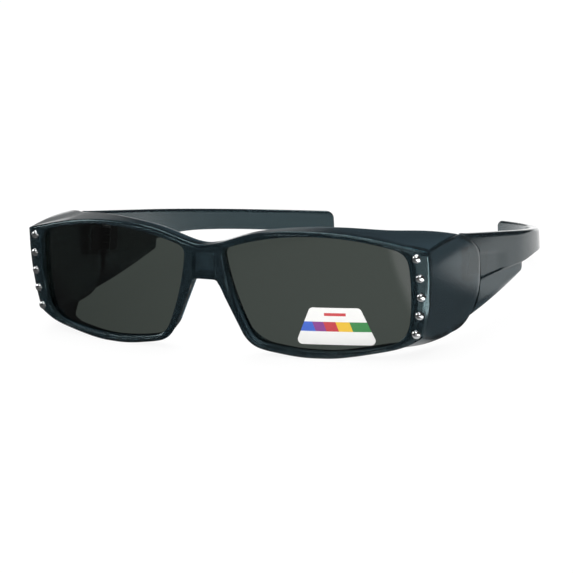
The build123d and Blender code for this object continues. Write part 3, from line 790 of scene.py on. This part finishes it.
def wing_foot(y):
    """Height of the wing's lower edge: a shallow sagging line that turns up at its rear end."""
    (y0, z0), (y1, z1), (y2, z2) = WING_FRONT_FOOT, WING_REAR_FOOT, WING_END
    q = (y - y0) / (y1 - y0)
    return np.where(y < y1, z0 + (z1 - z0) * q - WING_SAG * q * (1 - q), z1 + (z2 - z1) * (y - y1) / (y2 - y1))


def along_temple(u, inset):
    """Plan place of a point at a distance along the temple's outer face and an inset from it.

    The first stretch is straight and splayed, the rest an arc that hooks inward. The place is the straight's
    end plus the arc's: the hook's radius less the inset, times the cosine and the sine of the turn."""
    turn = np.maximum(u - STRAIGHT, 0) / HOOK_RADIUS - SPLAY
    run, bend = np.minimum(u, STRAIGHT), HOOK_RADIUS - inset
    x = OUTER_X + math.sin(SPLAY) * run - math.cos(SPLAY) * HOOK_RADIUS + np.cos(turn) * bend
    y = BAR_START + math.cos(SPLAY) * run + math.sin(SPLAY) * HOOK_RADIUS + np.sin(turn) * bend
    return x, y


def arc_profile(top_r, foot_r, face, wing, inside):
    """One side of the temple's section, from the middle of its top to the middle of its foot.

    Columns: inset from the outer face, then how much of its drop below the top is fixed, follows the bar's
    height and follows the wing's depth."""
    rows = [(THICK / 2, 0, 0, 0)]
    rows += [(top_r * (1 - math.sin(turn)), top_r * (1 - math.cos(turn)), 0, 0)
             for turn in np.radians(np.linspace(0, 90, 6))]
    rows += [(0, top_r - share * (top_r + foot_r), share, 0) for share in np.linspace(0, 1, face)[1:-1]]
    rows += [(foot_r * (1 - math.cos(turn)), -foot_r * (1 - math.sin(turn)), 1, 0)
             for turn in np.radians(np.linspace(0, 90, 5))]
    if inside:
        rows = [(THICK - d if i else d, *rest) for i, (d, *rest) in enumerate(rows)]
    return np.array(rows + [(d, 0, 1, b) for d, b in wing])


def temple():
    """The wearer's left temple as sections that run back from the joint to the tip.

    Every section is a rounded bar with a thinner bevelled wing below it, whose depth falls to none.
    Returns points and faces."""
    outer_wing = [(WING_OUTER, share) for share in (0.03, *np.linspace(0.05, 0.7, 12))]
    outer_wing += [(0.85, 0.8), (1.25, 0.9), (1.45, 0.96), (1.62, 0.99), (WING_MEET, 1.0)]
    inner_wing = [(WING_INNER, share) for share in (0.03, *np.linspace(0.05, 0.93, 14))]
    inner_wing += [(2.78, 0.97), (2.45, 1.0), (WING_MEET, 1.0)]
    outer = arc_profile(top_r=1.3, foot_r=0.6, face=46, wing=outer_wing, inside=False)
    inner = arc_profile(top_r=1.0, foot_r=0.5, face=46, wing=inner_wing, inside=True)
    n, w = len(outer), len(outer_wing)
    ring = np.vstack([outer, inner[-2:0:-1]])
    # Where the wing runs out, its columns spread evenly over the bar's foot
    spread = ring[:, 0].copy()
    spread[n - w:n] = np.linspace(0.8, WING_MEET, w)
    spread[n:n + w - 1] = np.linspace(WING_INNER, WING_MEET, w)[-2::-1]
    inset, fixed, by_bar, by_wing = ring.T[:, None]

    edge = shield_edge()[::-1]
    total = STRAIGHT + HOOK_RUN

    def height_at(y, shrink):
        """Each column's height at a place, with the section drawn in by shrink, and the wing's depth there."""
        top, foot = bar_top(y), bar_foot(y)
        tall = top - foot
        deep = np.maximum(foot - wing_foot(y), 0)
        deep = np.where(y > WING_END[0], 0, deep)
        drop = fixed + by_bar * tall + by_wing * deep
        whole = tall + deep
        return top - shrink - drop * (whole - 2 * shrink) / whole, deep

    # Each column starts at the shield's edge; its height depends on its place, so it nears both by half steps
    start = np.full(ring.shape[0], 50.0)
    for _ in range(60):
        z, _ = height_at(start[None], 0.0)
        found = np.interp(z[0], edge[:, 1], edge[:, 0]) + JOINT_GAP
        start = 0.5 * start + 0.5 * np.maximum(found, FOREMOST)
    u0 = (start - BAR_START) / math.cos(SPLAY)
    turn = np.linspace(0, np.pi / 2, 6)
    near = u0[None] + JOINT_ROUND * (1 - np.cos(turn))[:, None]
    blend = np.linspace(0, 1, 44)[1:, None]
    second = near[-1:] * (1 - blend) + EVEN_FROM * blend
    rest = np.r_[np.linspace(EVEN_FROM, FINE_FROM, 56)[1:], np.linspace(FINE_FROM, FINE_TO, 18)[1:],
                 np.linspace(FINE_TO, total - TIP_ROUND, 118)[1:],
                 total - TIP_ROUND * (1 - np.sin(np.linspace(0, np.pi / 2, 14)[1:]))]
    u = np.vstack([near, second, np.repeat(rest[:, None], ring.shape[0], 1)])
    ahead = u - u0[None]
    left = total - u

    def edge_round(gap, r):
        """How far a round edge of radius r stands back at a gap from the end."""
        return r - np.sqrt(r * r - np.clip(r - gap, 0, r)**2)

    sides = np.maximum(edge_round(ahead, JOINT_ROUND), edge_round(left, TIP_THIN))
    ends = np.maximum(edge_round(ahead, JOINT_ROUND), edge_round(left, TIP_ROUND))
    _, y = along_temple(u, inset)
    z, deep = height_at(y, ends)
    thin = np.minimum(deep / 2.0, 1.0)
    d = inset * thin + spread[None] * (1 - thin)
    d = sides + d * (THICK - 2 * sides) / THICK
    column = np.arange(ring.shape[0])[None]
    on_outer = (column < n - w) & (fixed + by_bar > 0)
    on_inner = column >= n + w - 1
    top_line = bar_top(y) - RELIEF_DOWN
    foot_line = top_line - RELIEF_HEIGHT + (y - BAR_START) / (RELIEF_END - BAR_START) * RELIEF_TAPER
    panel = within(z, foot_line, top_line, RELIEF_SOFT) * step_up((RELIEF_END - y) / 10.0 + 0.5)
    d = d + RELIEF * panel * on_outer
    back, up = hinge_axes(y, z)
    plate = within(up, -LEAF_TALL, LEAF_TALL, LEAF_SOFT) * within(back, KNUCKLE_FRONT, LEAF_LONG, LEAF_SOFT)
    knuckle = within(up, -KNUCKLE_TALL, KNUCKLE_TALL, LEAF_SOFT)
    knuckle = knuckle * within(back, KNUCKLE_FRONT, KNUCKLE_BACK, LEAF_SOFT)
    d = d - np.maximum(LEAF_DEEP * plate, KNUCKLE_DEEP * knuckle) * on_inner
    x, y = along_temple(u, d)
    points = np.stack([x, y, z], 2)

    rows, columns = u.shape
    index = np.arange(rows * columns).reshape(rows, columns)
    one = np.arange(n)
    two = np.r_[0, np.arange(columns - 1, n - 1, -1), n - 1][:n]
    caps = np.stack([one[:-1], two[:-1], two[1:], one[1:]], 1)
    faces = belts(index).tolist()
    for row, flip in ((0, 1), (rows - 1, -1)):
        faces += [list(dict.fromkeys(cap))[::flip] for cap in index[row][caps].tolist()]
    return points.reshape(-1, 3), faces


def disc(rings, count):
    """Quads between rings of points, from the rim in, and triangles from the last ring to the hub after it."""
    grid = np.arange(rings * count).reshape(rings, count)
    return belts(grid), np.stack([grid[-1], np.roll(grid[-1], -1), np.full(count, rings * count)], 1)


def lens():
    """The wearer's left lens: rings that shrink from the opening's line to one point, front and back.

    A ring is the middle plus a share of the way to the rim, laid on an arc about the front's own centre. The
    rim's ring lies deeper than the rest on both faces, which rounds the edge. Returns points and faces."""
    hole = opening_loop(560)[0][::-1]
    middle = hole.mean(0)
    rim = hole - LENS_HOLD * outward(hole)
    shares = np.r_[1.0, 1 - np.linspace(0.004, 1, 26)[:-1]]
    flat = np.vstack([*(middle + (rim - middle) * part for part in shares), middle])
    count = len(rim)
    lift = np.full(len(flat), LENS_PLAY)
    lift[:count] = LENS_ROUND
    points = np.vstack([laid_back(flat, LENS_DEPTH + lift), laid_back(flat, LENS_DEPTH + LENS_THICK - lift)])
    quads, cap = disc(len(shares), count)
    back = len(flat)
    at = np.arange(count)
    beside = np.roll(at, -1)
    edge = np.stack([beside, at, at + back, beside + back], 1)
    faces = [quads, quads[:, ::-1] + back, cap, cap[:, ::-1] + back, edge]
    return points, [face for group in faces for face in group.tolist()]


def placed(points, side):
    """Points of a worked-out shape, in metres and at their place, mirrored for the wearer's right."""
    way = 1.0 if side == "left" else -1.0
    return (points * [way, 1, 1] - [0, AHEAD, 0]) * MM


def for_side(faces, side):
    """Faces as they are, or turned round for the mirrored side."""
    return faces if side == "left" else [face[::-1] for face in faces]


def whole_front():
    """Both halves of the front, their shared points on the middle plane made one."""
    points, faces = front_half()
    both = np.vstack([points, points * [-1, 1, 1]])
    quads = np.vstack([faces, faces[:, ::-1] + len(points)])
    _, first, back = np.unique(np.round(both * 1e4).astype(np.int64), axis=0, return_index=True,
                               return_inverse=True)
    return both[first], back.ravel()[quads].tolist()


def put_in_scene(name, data):
    """A new object in the scene that shows this data."""
    obj = bpy.data.objects.new(name, data)
    bpy.context.scene.collection.objects.link(obj)
    return obj


def mesh_piece(name, points, faces, body, material, smooth):
    """Makes a piece from points in metres and lists of corners, riding on a body."""
    mesh = bpy.data.meshes.new(name)
    mesh.from_pydata(points.tolist(), [], faces)
    mesh.polygons.foreach_set("use_smooth", np.full(len(mesh.polygons), smooth))
    mesh.set_sharp_from_angle(angle=math.radians(40))
    mesh.update()
    obj = put_in_scene(name, mesh)
    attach(obj, body)
    dress(obj, material)
    return obj


# In metres: how far a stone stands out of the face and how deep it sits in it; then the label's thickness, its
# corners' radius, its foot's width, how far it lies from its solid's middle, and how many times larger it is
STONE_RISE, STONE_SEAT = 0.8 * MM, 0.68 * MM
LABEL_THICK, LABEL_CORNER, LABEL_FOOT, LABEL_ASIDE, LABEL_DOWN = 0.12 * MM, 1.4 * MM, 24.6 * MM, 0.8 * MM, 0.5 * MM
LABEL_GROWTH, LABEL_TOP_SHARE = 1.02, 0.61


def cut_stone(centre_x, centre_z, front_y, radius, settings):
    """A round cut stone on the face of the front.

    Rings from the top: the table's corners, the kites' corners half a step on at three fifths of the height,
    then twice as many points for the upright rim's top, the face and the seat's foot."""
    n = settings.facets
    step = 2 * np.pi / n

    def ring(count, share, height, start):
        """Even points round the stone's axis, at a share of its radius and a height over the face."""
        turn = start + np.arange(count) * 2 * np.pi / count
        return np.stack([radius * share * np.cos(turn), radius * share * np.sin(turn), np.full(count, height)], 1)

    local = np.vstack([
        ring(n, settings.table_share, STONE_RISE, 0.0),
        ring(n, (settings.table_share + 1.0) / 2 + 0.02, STONE_RISE * 0.6, step / 2),
        ring(2 * n, 1.0, STONE_RISE * settings.girdle_share, 0.0),
        ring(2 * n, 1.0, 0.0, 0.0),
        ring(2 * n, 1.0, -STONE_SEAT, 0.0)])
    table, other = np.arange(n), np.roll(np.arange(n), -1)
    kite, next_kite = n + table, n + other
    first, second, third = 2 * n + 2 * table, 2 * n + 2 * table + 1, 2 * n + 2 * other
    upper = 2 * n + np.arange(2 * n)
    beside = 2 * n + np.roll(np.arange(2 * n), -1)
    lower, lower_beside, foot, foot_beside = upper + 2 * n, beside + 2 * n, upper + 4 * n, beside + 4 * n
    groups = [(other, table, kite), (other, kite, third, next_kite), (kite, first, second), (kite, second, third),
              (upper, lower, lower_beside, beside), (lower, foot, foot_beside, lower_beside)]
    faces = [table.tolist(), foot[::-1].tolist()]
    for group in groups:
        faces += np.stack(group, 1).tolist()
    turn = math.asin(centre_x / (FACE_RADIUS * MM))
    out = np.array([math.sin(turn), -math.cos(turn), 0.0])
    along = np.array([math.cos(turn), math.sin(turn), 0.0])
    up = np.array([0.0, 0.0, 1.0])
    origin = np.array([centre_x, front_y + FACE_RADIUS * MM * (1 - math.cos(turn)), centre_z])
    return origin + local[:, :1] * along + local[:, 1:2] * up + local[:, 2:3] * out, faces


def rounded_trapezoid(top, foot, height, radius, steps):
    """Outline of a trapezoid whose corners are arcs, each tangent to its two sides, anticlockwise."""
    corners = np.array([[-foot / 2, -height / 2], [foot / 2, -height / 2], [top / 2, height / 2],
                        [-top / 2, height / 2]])
    before, after = (unit(np.roll(corners, turn, 0) - corners) for turn in (1, -1))
    half = np.arccos((before * after).sum(1)) / 2
    centres = corners + unit(before + after) * (radius / np.sin(half))[:, None]
    start = np.arctan2(*(corners + before * (radius / np.tan(half))[:, None] - centres).T[::-1])
    sweep = np.pi - 2 * half
    turn = start[:, None] + sweep[:, None] * np.linspace(0, 1, steps)[None]
    arc = centres[:, None] + radius * np.stack([np.cos(turn), np.sin(turn)], 2)
    return arc.reshape(-1, 2)


def floor_in_gloss(graph, settings):
    """Brightness that gloss sees on the floor: a least brightness plus four bright patches.

    A patch is its brightness times smooth steps of the place across and back, in metres."""
    across, back, _ = graph.channels("ShaderNodeTexCoord", output="Object")
    behind = fade(across, 0.126, 0.11) * fade(back, -0.01, 0.02) * fade(back - across * 1.5, -0.145, -0.115)
    behind = behind * (1 - fade(back, 0.25, 0.5) * 0.45) * (1 + fade(across, 0.06, 0.03) * 0.5)
    beside = fade(across, 0.07, 0.077) * fade(back, -0.1, -0.115)
    lean = back + across * 0.53 + 0.0314
    corner = fade(across, 0.09, 0.1) * fade(lean, -0.035, -0.02) * fade(lean, 0.035, 0.02)
    under = fade(back, -0.085, -0.072) * fade(back, -0.05, -0.06) * fade(across, 0.0, 0.03)
    patches = behind * settings.glow_behind + beside * settings.glow_beside
    return patches + corner * settings.glow_corner + under * settings.glow_under + settings.floor_mirrored


class SUNGLASSES_OT_stage(bpy.types.Operator):
    """Makes the camera, the pale floor, the world and the soft lamps"""

    bl_idname = "sunglasses.stage"
    bl_label = "Stage"

    def execute(self, context):
        settings = context.scene.sunglasses_stage
        scene = context.scene
        scene.view_settings.view_transform = "Standard"
        camera = bpy.data.cameras.new("camera")
        camera.lens = settings.camera_lens
        camera.sensor_width = 36.0
        camera.clip_start, camera.clip_end = 0.01, 50.0
        holder = put_in_scene("camera", camera)
        turned = Matrix.Rotation(settings.camera_turn, 4, "Z")
        turned @= Matrix.Rotation(math.pi / 2 - settings.camera_tilt, 4, "X")
        turned @= Matrix.Rotation(settings.camera_roll, 4, "Z")
        holder.matrix_world = Matrix.Translation(settings.camera_place) @ turned
        scene.camera = holder

        half = settings.floor_half
        floor = bpy.data.meshes.new("floor")
        floor.from_pydata([(-half, -half, 0), (half, -half, 0), (half, half, 0), (-half, half, 0)], [],
                          [(0, 1, 2, 3)])
        ground = put_in_scene("floor", floor)
        material, graph = new_material("pale_floor")
        seen, through, gloss = graph.ray("Camera", "Transmission", "Glossy")
        lit = graph.add("ShaderNodeBsdfDiffuse", None, {"Color": as_color(settings.floor_color)})
        glow = graph.add("ShaderNodeEmission", None, {"Color": WHITE, "Strength": 1.0})
        mirrored = floor_in_gloss(graph, settings)
        seen_glow = graph.add("ShaderNodeEmission", None, {"Color": WHITE, "Strength": mirrored})
        share = (seen + through) * settings.floor_glow
        shown = graph.add("ShaderNodeMixShader", None, [share, lit, glow])
        shown = graph.add("ShaderNodeMixShader", None, [gloss * (1 - through), shown, seen_glow])
        graph.add("ShaderNodeOutputMaterial", None, {"Surface": shown})
        dress(ground, material)

        world = bpy.data.worlds.new("studio")
        world.use_nodes = True
        scene.world = world
        graph = Graph(world.node_tree)
        seen, through, gloss = graph.ray("Camera", "Transmission", "Glossy")
        across, back, up = graph.channels("ShaderNodeTexCoord", output="Generated")
        card = fade(back, 0.3, 0.7) * fade(across, -0.1, -0.25) * fade(up, 0.3, 0.12)
        card = card * (0.4 + fade(across, -0.5, -0.42) * 0.6)
        mirrored = card * (settings.sky_back - settings.sky_front) + settings.sky_front
        plain = seen + through
        strength = plain + (1 - plain) * (gloss * mirrored + (1 - gloss) * settings.sky_fill)
        sky = graph.add("ShaderNodeBackground", None, {"Color": WHITE, "Strength": strength})
        graph.add("ShaderNodeOutputWorld", None, {"Surface": sky})

        # Each soft lamp's place, the point it lights, its width and its power
        for name, place, aim, size, power in (
                ("lamp_above", (-0.1, 0.25, 0.9), (0, 0, 0), 0.9, settings.lamp_power),
                ("lamp_left", (-0.9, -0.3, 0.5), (0, 0, 0.02), 0.5, settings.lamp_power * 0.35),
                ("lamp_front", (0.25, -0.75, 0.8), (0, 0, 0.02), 0.6, settings.lamp_power * 0.25)):
            light = bpy.data.lights.new(name, "AREA")
            light.energy = power
            light.size = size
            lamp = put_in_scene(name, light)
            toward = (Vector(aim) - Vector(place)).to_track_quat("-Z", "Y")
            lamp.matrix_world = Matrix.Translation(place) @ toward.to_matrix().to_4x4()
        return {"FINISHED"}


class SUNGLASSES_OT_plastic(bpy.types.Operator):
    """Gives the front and the temples their smoke plastic"""

    bl_idname = "sunglasses.plastic"
    bl_label = "Front and temples"

    def execute(self, context):
        material = smoke_plastic(context.scene.sunglasses_plastic)
        points, faces = whole_front()
        front = mesh_piece("front_shell", placed(points, "left"), faces, "front", material, True)
        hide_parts("front_frame")
        points, faces = temple()
        for side in SIDES:
            arm = mesh_piece(f"moulded_temple_{side}", placed(points, side), for_side(faces, side),
                             f"temple_{side}", material, True)
            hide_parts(f"temple_{side}")
        return {"FINISHED"}


class SUNGLASSES_OT_lenses(bpy.types.Operator):
    """Gives both lenses their dark tint"""

    bl_idname = "sunglasses.lenses"
    bl_label = "Lenses"

    def execute(self, context):
        material = dark_lens(context.scene.sunglasses_lens)
        points, faces = lens()
        for side in SIDES:
            piece = mesh_piece(f"tinted_lens_{side}", placed(points, side), for_side(faces, side), "front",
                               material, True)
            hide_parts(f"lens_{side}")
        return {"FINISHED"}


class SUNGLASSES_OT_hinges(bpy.types.Operator):
    """Gives the hinge leaves and the screws their metal"""

    bl_idname = "sunglasses.hinges"
    bl_label = "Hinges"

    def execute(self, context):
        settings = context.scene.sunglasses_metal
        leaf = rolled_metal(settings, "hinge_metal", settings.leaf_color)
        screw = rolled_metal(settings, "screw_metal", settings.screw_color)
        for side in SIDES:
            dress(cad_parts[f"hinge_front_leaf_{side}"], leaf)
            dress(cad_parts[f"hinge_temple_leaf_{side}"], leaf)
            dress(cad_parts[f"hinge_screw_{side}"], screw)
        return {"FINISHED"}


class SUNGLASSES_OT_stones(bpy.types.Operator):
    """Cuts the ten round stones and sets each in its seat"""

    bl_idname = "sunglasses.stones"
    bl_label = "Stones"

    def execute(self, context):
        settings = context.scene.sunglasses_stone
        material = silvered_stone(settings)
        front_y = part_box("front_frame")[0].y
        for side in SIDES:
            for number in STONE_ROW:
                node = f"stone_{side}_{number}"
                low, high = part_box(node)
                middle = (low + high) / 2
                radius = (high.z - low.z) / 2
                points, faces = cut_stone(middle.x, middle.z, front_y, radius, settings)
                stone = mesh_piece(f"cut_{node}", points, faces, "front", material, False)
                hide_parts(node)
        return {"FINISHED"}


class SUNGLASSES_OT_label(bpy.types.Operator):
    """Lays the paper label on the wearer's left lens"""

    bl_idname = "sunglasses.label"
    bl_label = "Label"

    def execute(self, context):
        settings = context.scene.sunglasses_label
        material = printed_paper(settings)
        low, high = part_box("lens_sticker")
        front_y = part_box("front_frame")[0].y
        centre_x, centre_z = (low.x + high.x) / 2 - LABEL_ASIDE, (low.z + high.z) / 2 - LABEL_DOWN
        width, height = LABEL_GROWTH * (high.x - low.x), LABEL_GROWTH * (high.z - low.z)
        outline = rounded_trapezoid(LABEL_FOOT * LABEL_TOP_SHARE, LABEL_FOOT, height, LABEL_CORNER, 9)
        edge = evened(outline, 240, True)
        edge[:, 0] *= width / np.ptp(edge[:, 0])
        shares = (1.0, 0.985, 0.9, 0.75, 0.6, 0.45, 0.3, 0.15)
        count = len(edge)
        flat = np.vstack([*(edge * part for part in shares), np.zeros((1, 2))])
        x, z = centre_x + flat[:, 0], centre_z + flat[:, 1]
        lens_y = front_y + FACE_RADIUS * MM - np.sqrt(((FACE_RADIUS - LENS_DEPTH) * MM)**2 - x**2)
        points = np.vstack([np.stack([x, lens_y - LABEL_THICK, z], 1),
                            np.stack([x, lens_y, z], 1)[:count]])
        quads, cap = disc(len(shares), count)
        at = np.arange(count)
        beside, skirt = np.roll(at, -1), len(flat)
        wall = np.stack([skirt + at, skirt + beside, beside, at], 1)
        faces = [*quads.tolist(), *cap.tolist(), *wall.tolist(), (skirt + at[::-1]).tolist()]
        label = mesh_piece("printed_label", points, faces, "front", material, True)
        layer = label.data.uv_layers.new(name="label")
        corner = np.zeros(len(label.data.loops), np.int32)
        label.data.loops.foreach_get("vertex_index", corner)
        u = (points[:, 0] - centre_x) / width + 0.5
        v = (points[:, 2] - centre_z) / height + 0.5
        layer.data.foreach_set("uv", np.stack([u[corner], v[corner]], 1).astype(np.float32).ravel())
        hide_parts("lens_sticker")
        return {"FINISHED"}


class SUNGLASSES_PT_panel(bpy.types.Panel):
    """Lists the steps that dress the sunglasses"""

    bl_idname = "SUNGLASSES_PT_panel"
    bl_label = "Fitover sunglasses"
    bl_space_type = "VIEW_3D"
    bl_region_type = "UI"
    bl_category = "Sunglasses"

    def draw(self, context):
        for step in STEPS:
            self.layout.operator(step.bl_idname)


STEPS = (
    SUNGLASSES_OT_stage,
    SUNGLASSES_OT_plastic,
    SUNGLASSES_OT_lenses,
    SUNGLASSES_OT_hinges,
    SUNGLASSES_OT_stones,
    SUNGLASSES_OT_label,
)
SETTINGS = {
    "sunglasses_stage": StageSettings,
    "sunglasses_plastic": PlasticSettings,
    "sunglasses_lens": LensSettings,
    "sunglasses_stone": StoneSettings,
    "sunglasses_label": LabelSettings,
    "sunglasses_metal": MetalSettings,
}


def register():
    """Registers every class and hangs the settings on the scene."""
    for kind in (*SETTINGS.values(), *STEPS, SUNGLASSES_PT_panel):
        bpy.utils.register_class(kind)
    for name, kind in SETTINGS.items():
        setattr(bpy.types.Scene, name, PointerProperty(type=kind))


def unregister():
    """Takes the settings off the scene and the classes out again."""
    for name in SETTINGS:
        delattr(bpy.types.Scene, name)
    for kind in reversed((*SETTINGS.values(), *STEPS, SUNGLASSES_PT_panel)):
        bpy.utils.unregister_class(kind)


def main():
    """Registers the add-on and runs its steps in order."""
    register()
    for step in STEPS:
        group, name = step.bl_idname.split(".")
        getattr(getattr(bpy.ops, group), name)()


if __name__ == "__main__":
    main()
